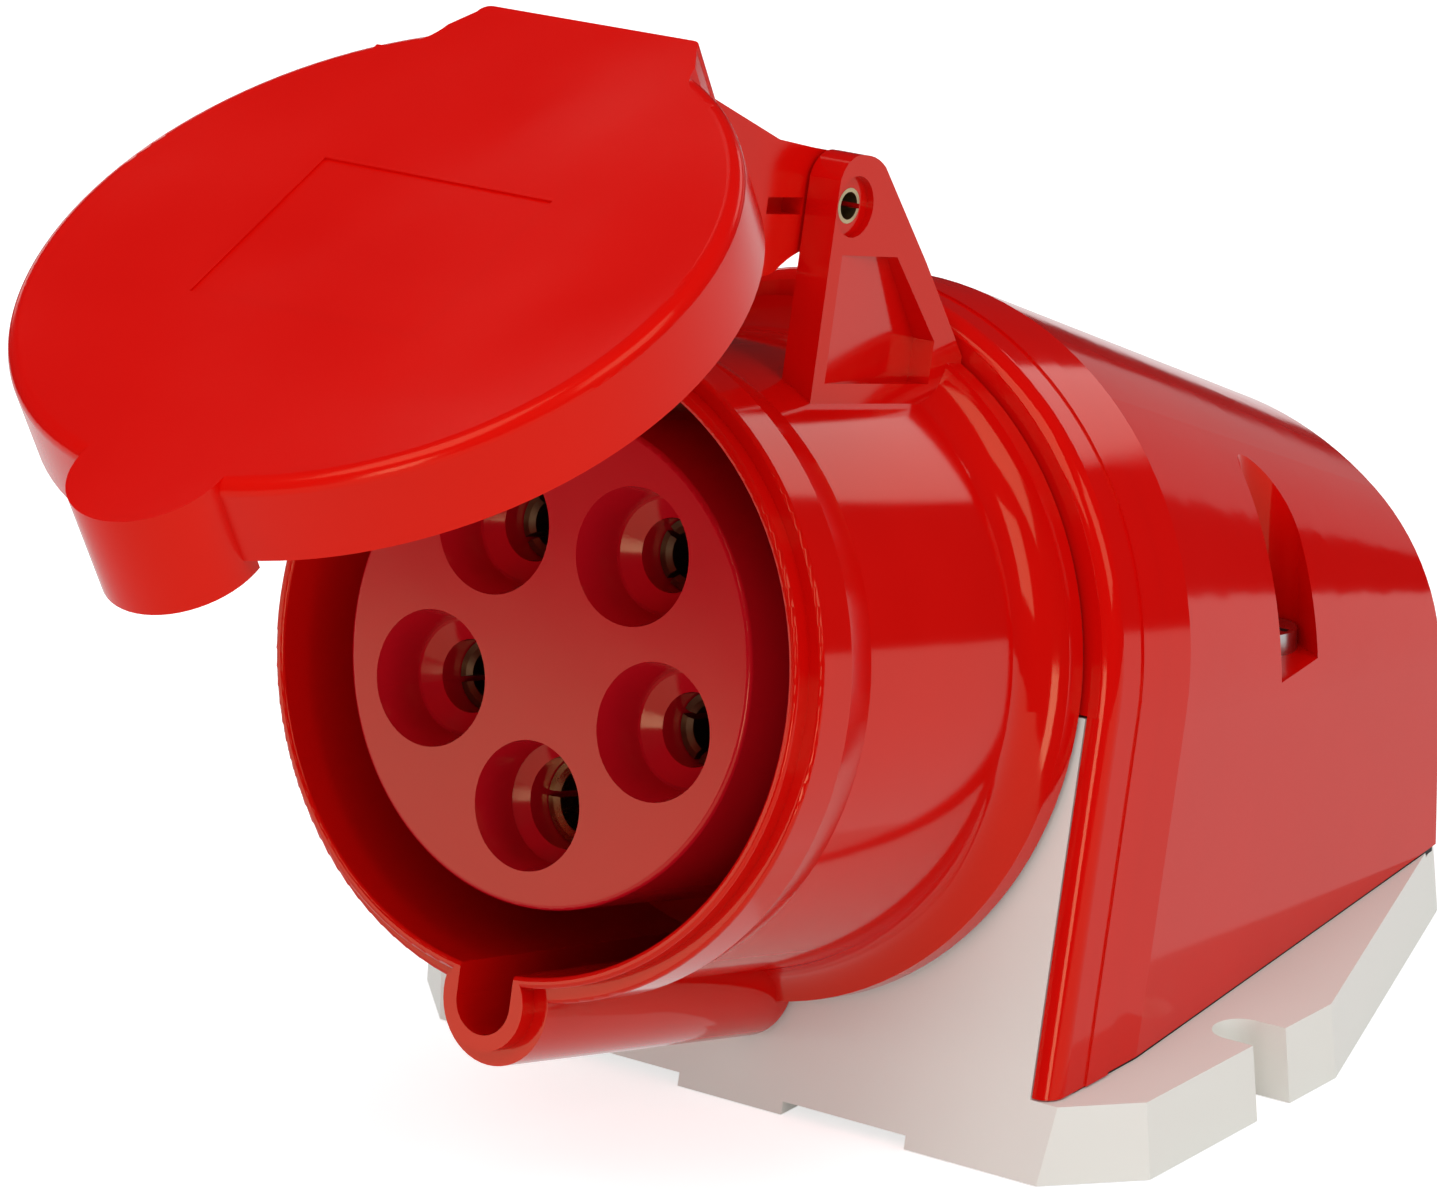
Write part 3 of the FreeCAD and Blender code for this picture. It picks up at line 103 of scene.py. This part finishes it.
# Grip ribs on the dome of the gland's nut, in metres: how deep their middle line lies in it, how far past the
# dome's foot they start, and how far the dome closes in and swells out
RIB_COUNT = 24
RIB_RADIUS = 0.0005
RIB_SIDES = 8
RIB_STEPS = 10
RIB_DEPTH = 0.0004
RIB_START = 0.0001
DOME_SHARE = 0.4
DOME_CLOSING = 0.0049
DOME_SWELL = 0.00048


class Tree:
    """The node tree of one material, group or world, and the one way to add a node to it."""

    def __init__(self, owner):
        self.tree = owner if isinstance(owner, bpy.types.NodeTree) else owner.node_tree
        self.tree.nodes.clear()

    def node(self, kind, settings=None, **inputs):
        """Add a node: its settings first, then values or links for its sockets. A socket is called by its
        name, with _ for a space, or by its place, such as i0 for the first."""
        item = self.tree.nodes.new(kind)
        for name, value in (settings or {}).items():
            setattr(item, name, value)
        for name, value in inputs.items():
            by_place = name[0] == "i" and name[1:].isdigit()
            self.feed(item.inputs[int(name[1:]) if by_place else name.replace("_", " ")], value)
        return item

    def feed(self, socket, value):
        """Link a signal or an output to a socket, or set its value."""
        if isinstance(value, Signal):
            self.tree.links.new(value.socket, socket)
        elif isinstance(value, bpy.types.NodeSocket):
            self.tree.links.new(value, socket)
        else:
            socket.default_value = value

    def signal(self, kind, output, settings=None, **inputs):
        """Add a node and return one of its outputs as a signal."""
        return Signal(self, self.node(kind, settings, **inputs).outputs[output])


class Signal:
    """One value in a tree. Sums, products and quotients of signals add Math nodes."""

    def __init__(self, tree, socket):
        self.tree = tree
        self.socket = socket

    def math(self, operation, first, second, **more):
        return self.tree.signal("ShaderNodeMath", 0, {"operation": operation, **more}, i0=first, i1=second)

    def __add__(self, other):
        return self.math("ADD", self, other)

    def __radd__(self, other):
        return self.math("ADD", other, self)

    def __sub__(self, other):
        return self.math("SUBTRACT", self, other)

    def __rsub__(self, other):
        return self.math("SUBTRACT", other, self)

    def __mul__(self, other):
        return self.math("MULTIPLY", self, other)

    def __rmul__(self, other):
        return self.math("MULTIPLY", other, self)

    def __truediv__(self, other):
        return self.math("DIVIDE", self, other)

    def __rtruediv__(self, other):
        return self.math("DIVIDE", other, self)

    def clamped(self):
        """The signal, kept between 0 and 1."""
        return self.math("ADD", self, 0.0, use_clamp=True)

    def sharpened(self, contrast):
        """The signal, spread about its middle and kept between 0 and 1."""
        return (self * contrast + 0.5 * (1 - contrast)).clamped()

    def swing(self, amount):
        """The signal's departure from its middle, times an amount."""
        return (self - 0.5) * amount


def start_material(name):
    """Start a material: its tree, and the object's own coordinates for its patterns."""
    material = bpy.data.materials.new(name)
    material.use_nodes = True
    tree = Tree(material)
    place = tree.node("ShaderNodeTexCoord").outputs["Object"]
    return material, tree, place


def noise(tree, place, scale, detail=2.0, roughness=0.5):
    """Noise on the object's own coordinates. Scale counts features in a metre."""
    return tree.signal("ShaderNodeTexNoise", "Fac", None, Vector=place, Scale=scale, Detail=detail,
                       Roughness=roughness)


def blend_colors(tree, amount, first, second):
    """Mix two colours by a signal."""
    mix = tree.node("ShaderNodeMix", {"data_type": "RGBA"}, i0=amount, i6=(*first, 1), i7=(*second, 1))
    return mix.outputs[2]


def finish_material(tree, color, roughness, height, bump, bump_distance, **constants):
    """Close a material with a Principled shader. Constants are set on its own sockets."""
    relief = tree.node("ShaderNodeBump", None, Height=height, Strength=bump, Distance=bump_distance)
    shader = tree.node("ShaderNodeBsdfPrincipled", None, Base_Color=color, Roughness=roughness,
                       Normal=relief.outputs["Normal"], **constants)
    tree.node("ShaderNodeOutputMaterial", None, Surface=shader.outputs[0])


def moulded_plastic(name, light, deep, roughness, texture=0.25, specular=0.5, tint=WHITE, waves=0.0):
    """Injection-moulded plastic: faint flow clouds, a fine satin skin and soft unevenness in the gloss.
    Waves are the slow hollows that a thin wide wall gets as it cools."""
    material, tree, place = start_material(name)
    clouds = noise(tree, place, FLOW_CLOUDS, detail=3.0)
    skin = noise(tree, place, SATIN_SKIN)
    sinks = noise(tree, place, SOFT_SINKS, detail=1.0)
    color = blend_colors(tree, clouds.sharpened(CLOUD_CONTRAST), deep, light)
    gloss = roughness + clouds.swing(roughness * CLOUD_SWING) + skin.swing(roughness * SKIN_SWING)
    height = skin * SKIN_SHARE + sinks
    if waves:
        height = height + noise(tree, place, COOLING_WAVES, detail=1.0) * waves
    finish_material(tree, color, gloss.clamped(), height, bump=texture, bump_distance=PLASTIC_RELIEF,
                    Specular_IOR_Level=specular, Specular_Tint=(*tint, 1))
    return material


def grained_metal(name, light, deep, roughness):
    """Metal with a fine grain and a little tarnish."""
    material, tree, place = start_material(name)
    tarnish = noise(tree, place, TARNISH, detail=4.0, roughness=TARNISH_RAGGEDNESS)
    grain = noise(tree, place, METAL_GRAIN)
    color = blend_colors(tree, tarnish.sharpened(TARNISH_CONTRAST), light, deep)
    gloss = roughness + tarnish.swing(TARNISH_SWING) + grain.swing(GRAIN_SWING)
    finish_material(tree, color, gloss.clamped(), grain, bump=GRAIN_BUMP, bump_distance=METAL_RELIEF,
                    Metallic=1.0)
    return material


def seal_rubber(name, clean, dusty):
    """Black seal rubber with a film of dust."""
    material, tree, place = start_material(name)
    dust = noise(tree, place, DUST, detail=3.0)
    color = blend_colors(tree, dust, clean, dusty)
    finish_material(tree, color, RUBBER_ROUGHNESS + dust * DUST_SWING, dust, bump=DUST_BUMP,
                    bump_distance=RUBBER_RELIEF)
    return material


# Finishes, as the photograph shows them
WARM_GLOSS = (1.0, 0.76, 0.42)
SHELL_RED = moulded_plastic("glossy_red_shell", light=(0.66, 0.003, 0.002), deep=(0.60, 0.002, 0.001),
                            roughness=0.09, texture=0.1, specular=0.42, tint=WARM_GLOSS)
LID_RED = moulded_plastic("glossy_red_lid", light=(0.74, 0.003, 0.001), deep=(0.69, 0.002, 0.001),
                          roughness=0.17, specular=0.3, tint=WARM_GLOSS, waves=45.0)
HOOD_RED = moulded_plastic("glossy_red_hood", light=(0.68, 0.003, 0.002), deep=(0.63, 0.002, 0.001),
                           roughness=0.09, texture=0.1, specular=0.36, tint=WARM_GLOSS)
INSERT_RED = moulded_plastic("satin_red_insert", light=(0.56, 0.005, 0.014), deep=(0.50, 0.004, 0.011),
                             roughness=0.12, texture=0.1, specular=0.45, tint=WARM_GLOSS)
BOX_GREY = moulded_plastic("pale_grey_box", light=(0.86, 0.85, 0.79), deep=(0.83, 0.82, 0.76), roughness=0.34)
GLAND_GREY = moulded_plastic("grey_gland", light=(0.42, 0.42, 0.41), deep=(0.36, 0.36, 0.35), roughness=0.45)
RETAINER_BLACK = moulded_plastic("black_retainer", light=(0.035, 0.035, 0.036), deep=(0.022, 0.022, 0.023),
                                 roughness=0.45)
BRASS = grained_metal("turned_brass", light=(0.70, 0.50, 0.22), deep=(0.42, 0.28, 0.12), roughness=0.28)
# Painted shade: the same brass as the earth contact, painted darker because the line and neutral contacts sit
# deep in dark holes
BRASS_WITH_PAINTED_SHADE = grained_metal("dull_brass", light=(0.30, 0.20, 0.10), deep=(0.16, 0.10, 0.055), roughness=0.4)
PIN_METAL = grained_metal("rolled_pin_metal", light=(0.72, 0.60, 0.36), deep=(0.50, 0.40, 0.24),
                          roughness=0.32)
ZINC = grained_metal("zinc_plate", light=(0.72, 0.72, 0.70), deep=(0.52, 0.53, 0.54), roughness=0.3)
WIRE = grained_metal("spring_wire", light=(0.62, 0.62, 0.62), deep=(0.42, 0.42, 0.43), roughness=0.26)
RUBBER = seal_rubber("black_seal_rubber", clean=(0.012, 0.012, 0.013), dusty=(0.03, 0.03, 0.031))

FINISHES = {
    "base_box": BOX_GREY,
    "hood": HOOD_RED, "hood_gasket": RUBBER, "hood_screws": ZINC,
    "socket_shell": SHELL_RED, "socket_gasket": RUBBER, "hinge_pin": PIN_METAL,
    "contact_carrier": INSERT_RED, "contact_retainer": RETAINER_BLACK, "carrier_screws": ZINC,
    # The line and neutral contacts take the brass with painted shade; the earth contact keeps the plain brass
    "contact_l1": BRASS_WITH_PAINTED_SHADE, "contact_l2": BRASS_WITH_PAINTED_SHADE, "contact_l3": BRASS_WITH_PAINTED_SHADE,
    "contact_neutral": BRASS_WITH_PAINTED_SHADE, "contact_earth": BRASS, "terminal_screws": ZINC,
    "lid": LID_RED, "lid_gasket": RUBBER, "lid_spring": WIRE,
    "gland_body": GLAND_GREY, "gland_seal": RUBBER, "gland_nut": GLAND_GREY, "gland_locknut": GLAND_GREY,
}


def dress_nodes():
    """Give each CAD node its finish."""
    for name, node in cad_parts.items():
        node.data.materials.clear()
        node.data.materials.append(FINISHES[name])


def add_input(group, name, kind, value):
    """Add a named input to a geometry tree and give its start value."""
    item = group.interface.new_socket(name, in_out="INPUT", socket_type=kind)
    item.default_value = value


def make_rib_tree():
    """Grip ribs round a nut: one rib along an arc, repeated round the y axis."""
    group = bpy.data.node_groups.new("grip_ribs", "GeometryNodeTree")
    tree = Tree(group)
    group.interface.new_socket("Geometry", in_out="OUTPUT", socket_type="NodeSocketGeometry")
    add_input(group, "Count", "NodeSocketInt", RIB_COUNT)
    add_input(group, "Rib Radius", "NodeSocketFloat", RIB_RADIUS)
    for name in ("Start", "Middle", "End", "Axis"):
        add_input(group, name, "NodeSocketVector", (0.0, 0.0, 0.0))
    add_input(group, "Material", "NodeSocketMaterial", None)
    given = tree.node("NodeGroupInput").outputs
    arc = tree.node("GeometryNodeCurveArc", {"mode": "POINTS"}, Resolution=RIB_STEPS, Start=given["Start"],
                    Middle=given["Middle"], End=given["End"])
    round_profile = tree.node("GeometryNodeCurvePrimitiveCircle", {"mode": "RADIUS"}, Resolution=RIB_SIDES,
                              Radius=given["Rib Radius"])
    rib = tree.node("GeometryNodeCurveToMesh", None, Curve=arc.outputs["Curve"],
                    Profile_Curve=round_profile.outputs["Curve"], Fill_Caps=True)
    points = tree.node("GeometryNodePoints", None, Count=given["Count"])
    index = tree.signal("GeometryNodeInputIndex", "Index")
    turn = index * (2 * math.pi) / Signal(tree, given["Count"])
    rotation = tree.node("ShaderNodeCombineXYZ", None, Y=turn)
    ring = tree.node("GeometryNodeInstanceOnPoints", None, Points=points.outputs[0], Instance=rib.outputs[0],
                     Rotation=rotation.outputs[0])
    placed = tree.node("GeometryNodeTransform", None, Geometry=ring.outputs[0], Translation=given["Axis"])
    real = tree.node("GeometryNodeRealizeInstances", None, Geometry=placed.outputs[0])
    finish = tree.node("GeometryNodeSetMaterial", None, Geometry=real.outputs[0], Material=given["Material"])
    tree.node("NodeGroupOutput", None, Geometry=finish.outputs[0])
    return group


def grow(name, group, **values):
    """Run a geometry tree on an empty mesh and return its result as a plain piece."""
    source = bpy.data.objects.new(f"{name}_source", bpy.data.meshes.new(f"{name}_source"))
    bpy.context.scene.collection.objects.link(source)
    modifier = source.modifiers.new(name, "NODES")
    modifier.node_group = group
    for item in group.interface.items_tree:
        given_name = item.name.replace(" ", "_")
        if item.in_out == "INPUT" and given_name in values:
            modifier[item.identifier] = values[given_name]
    evaluated = source.evaluated_get(bpy.context.evaluated_depsgraph_get())
    mesh = bpy.data.meshes.new_from_object(evaluated)
    mesh.name = name
    source.modifiers.remove(modifier)
    bpy.data.objects.remove(source)
    piece = bpy.data.objects.new(name, mesh)
    bpy.context.scene.collection.objects.link(piece)
    return piece


def make_gland_ribs():
    """Ribs for the hand on the dome of the gland's nut."""
    low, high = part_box("gland_nut")
    axis = ((low[0] + high[0]) / 2, 0.0, (low[2] + high[2]) / 2)
    dome_length = DOME_SHARE * (high[1] - low[1])
    foot_radius = (high[0] - low[0]) / 2 - RIB_DEPTH
    mouth_radius = foot_radius - DOME_CLOSING
    middle_radius = (foot_radius + mouth_radius) / 2 + DOME_SWELL
    ribs = grow("gland_nut_ribs", make_rib_tree(), Count=RIB_COUNT, Rib_Radius=RIB_RADIUS, Axis=axis,
                Start=(foot_radius, high[1] - dome_length + RIB_START, 0.0),
                Middle=(middle_radius, high[1] - dome_length / 2 + DOME_SWELL, 0.0),
                End=(mouth_radius, high[1] - RIB_DEPTH, 0.0), Material=GLAND_GREY)
    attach(ribs, "housing")


def view_direction(azimuth, elevation):
    """The way a viewer at this azimuth and elevation looks."""
    turn = math.radians(azimuth)
    rise = math.radians(elevation)
    return Vector((-math.sin(turn) * math.cos(rise), math.cos(turn) * math.cos(rise), -math.sin(rise)))


def make_camera():
    """The camera, where the photograph was taken from."""
    ahead = view_direction(VIEW_AZIMUTH, VIEW_ELEVATION)
    right = ahead.cross(Vector((0, 0, 1))).normalized()
    up = right.cross(ahead)
    roll = Matrix.Rotation(math.radians(VIEW_ROLL), 3, -ahead)
    axes = Matrix((roll @ right, roll @ up, -ahead)).transposed()
    data = bpy.data.cameras.new("view_camera")
    data.lens = LENS
    data.sensor_width = SENSOR_WIDTH
    data.clip_start = VIEW_NEAR
    camera = bpy.data.objects.new("view_camera", data)
    camera.matrix_world = Matrix.Translation(VIEW_TARGET - ahead * VIEW_DISTANCE) @ axes.to_4x4()
    bpy.context.scene.collection.objects.link(camera)
    bpy.context.scene.camera = camera


def pale_table(name):
    """The table's material: matte with its shadow, lifted to white for the camera, and plain in mirrors."""
    material = bpy.data.materials.new(name)
    material.use_nodes = True
    tree = Tree(material)
    rays = tree.node("ShaderNodeLightPath").outputs
    matte = tree.node("ShaderNodeBsdfDiffuse", None, Color=(*TABLE_COLOR, 1))
    glow = tree.node("ShaderNodeEmission", None, Color=(*WHITE, 1), Strength=TABLE_GLOW)
    lifted = tree.node("ShaderNodeAddShader", None, i0=matte.outputs[0], i1=glow.outputs[0])
    seen = tree.node("ShaderNodeMixShader", None, i0=rays["Is Camera Ray"], i1=matte.outputs[0],
                     i2=lifted.outputs[0])
    plain = tree.node("ShaderNodeEmission", None, Color=(*WHITE, 1), Strength=MIRRORED_TABLE)
    mirrored = (Signal(tree, rays["Is Glossy Ray"]) + rays["Is Transmission Ray"]).clamped()
    shader = tree.node("ShaderNodeMixShader", None, i0=mirrored, i1=seen.outputs[0], i2=plain.outputs[0])
    tree.node("ShaderNodeOutputMaterial", None, Surface=shader.outputs[0])
    return material


def make_table():
    """A round pale table that keeps the object's shadow."""
    mesh = bpy.data.meshes.new("table")
    turns = [2 * math.pi * side / TABLE_SIDES for side in range(TABLE_SIDES)]
    corners = [(TABLE_REACH * math.cos(turn), TABLE_REACH * math.sin(turn), 0) for turn in turns]
    mesh.from_pydata(corners, [], [tuple(range(TABLE_SIDES))])
    mesh.materials.append(pale_table("pale_table"))
    table = bpy.data.objects.new("table", mesh)
    table.location = (0, 0, cad_bounds[0][2] - TABLE_GAP)
    bpy.context.scene.collection.objects.link(table)


def make_world():
    """White for the camera and through clear pieces, dim in mirrors, and an even light for all else."""
    world = bpy.data.worlds.new("studio")
    world.use_nodes = True
    bpy.context.scene.world = world
    tree = Tree(world)
    rays = tree.node("ShaderNodeLightPath").outputs
    seen = (Signal(tree, rays["Is Camera Ray"]) + rays["Is Transmission Ray"]).clamped()
    mirrored = Signal(tree, rays["Is Glossy Ray"])
    strength = WORLD_LEVEL + seen * (1 - WORLD_LEVEL) - mirrored * (WORLD_LEVEL - MIRRORED_ROOM)
    back = tree.node("ShaderNodeBackground", None, Color=(*WHITE, 1), Strength=strength)
    tree.node("ShaderNodeOutputWorld", None, Surface=back.outputs[0])


def make_lamp(name, azimuth, elevation, distance, width, height, brightness):
    """A soft box that faces the object. Its brightness is what a mirror would show, where 1 is white."""
    data = bpy.data.lights.new(name, "AREA")
    data.shape = "RECTANGLE"
    data.size = width
    data.size_y = height
    data.energy = brightness * math.pi * width * height
    ahead = view_direction(azimuth, elevation)
    lamp = bpy.data.objects.new(name, data)
    lamp.location = VIEW_TARGET - ahead * distance
    lamp.rotation_euler = ahead.to_track_quat("-Z", "Y").to_euler()
    bpy.context.scene.collection.objects.link(lamp)


def make_lamps():
    """Soft boxes where the photograph's highlights come from."""
    make_lamp("key_box", azimuth=14, elevation=56, distance=1.2, width=0.8, height=0.7, brightness=2.2)
    make_lamp("back_box", azimuth=176.5, elevation=22, distance=1.3, width=0.5, height=0.25, brightness=1.4)
    make_lamp("low_back_box", azimuth=187, elevation=4, distance=1.3, width=0.62, height=0.2,
              brightness=0.35)
    make_lamp("left_box", azimuth=-45, elevation=-5, distance=1.2, width=0.55, height=0.35, brightness=1.9)
    make_lamp("front_box", azimuth=30, elevation=2, distance=1.2, width=0.34, height=0.44, brightness=4.6)
    make_lamp("right_box", azimuth=95, elevation=35, distance=1.2, width=0.6, height=0.6, brightness=2.2)
    make_lamp("rear_box", azimuth=238, elevation=13, distance=1.2, width=0.7, height=0.3, brightness=1.5)
    make_lamp("rear_strip", azimuth=238, elevation=52.5, distance=1.2, width=0.5, height=0.07,
              brightness=0.9)


dress_nodes()
make_gland_ribs()
make_camera()
make_table()
make_world()
make_lamps()
bpy.context.scene.view_settings.view_transform = "Standard"
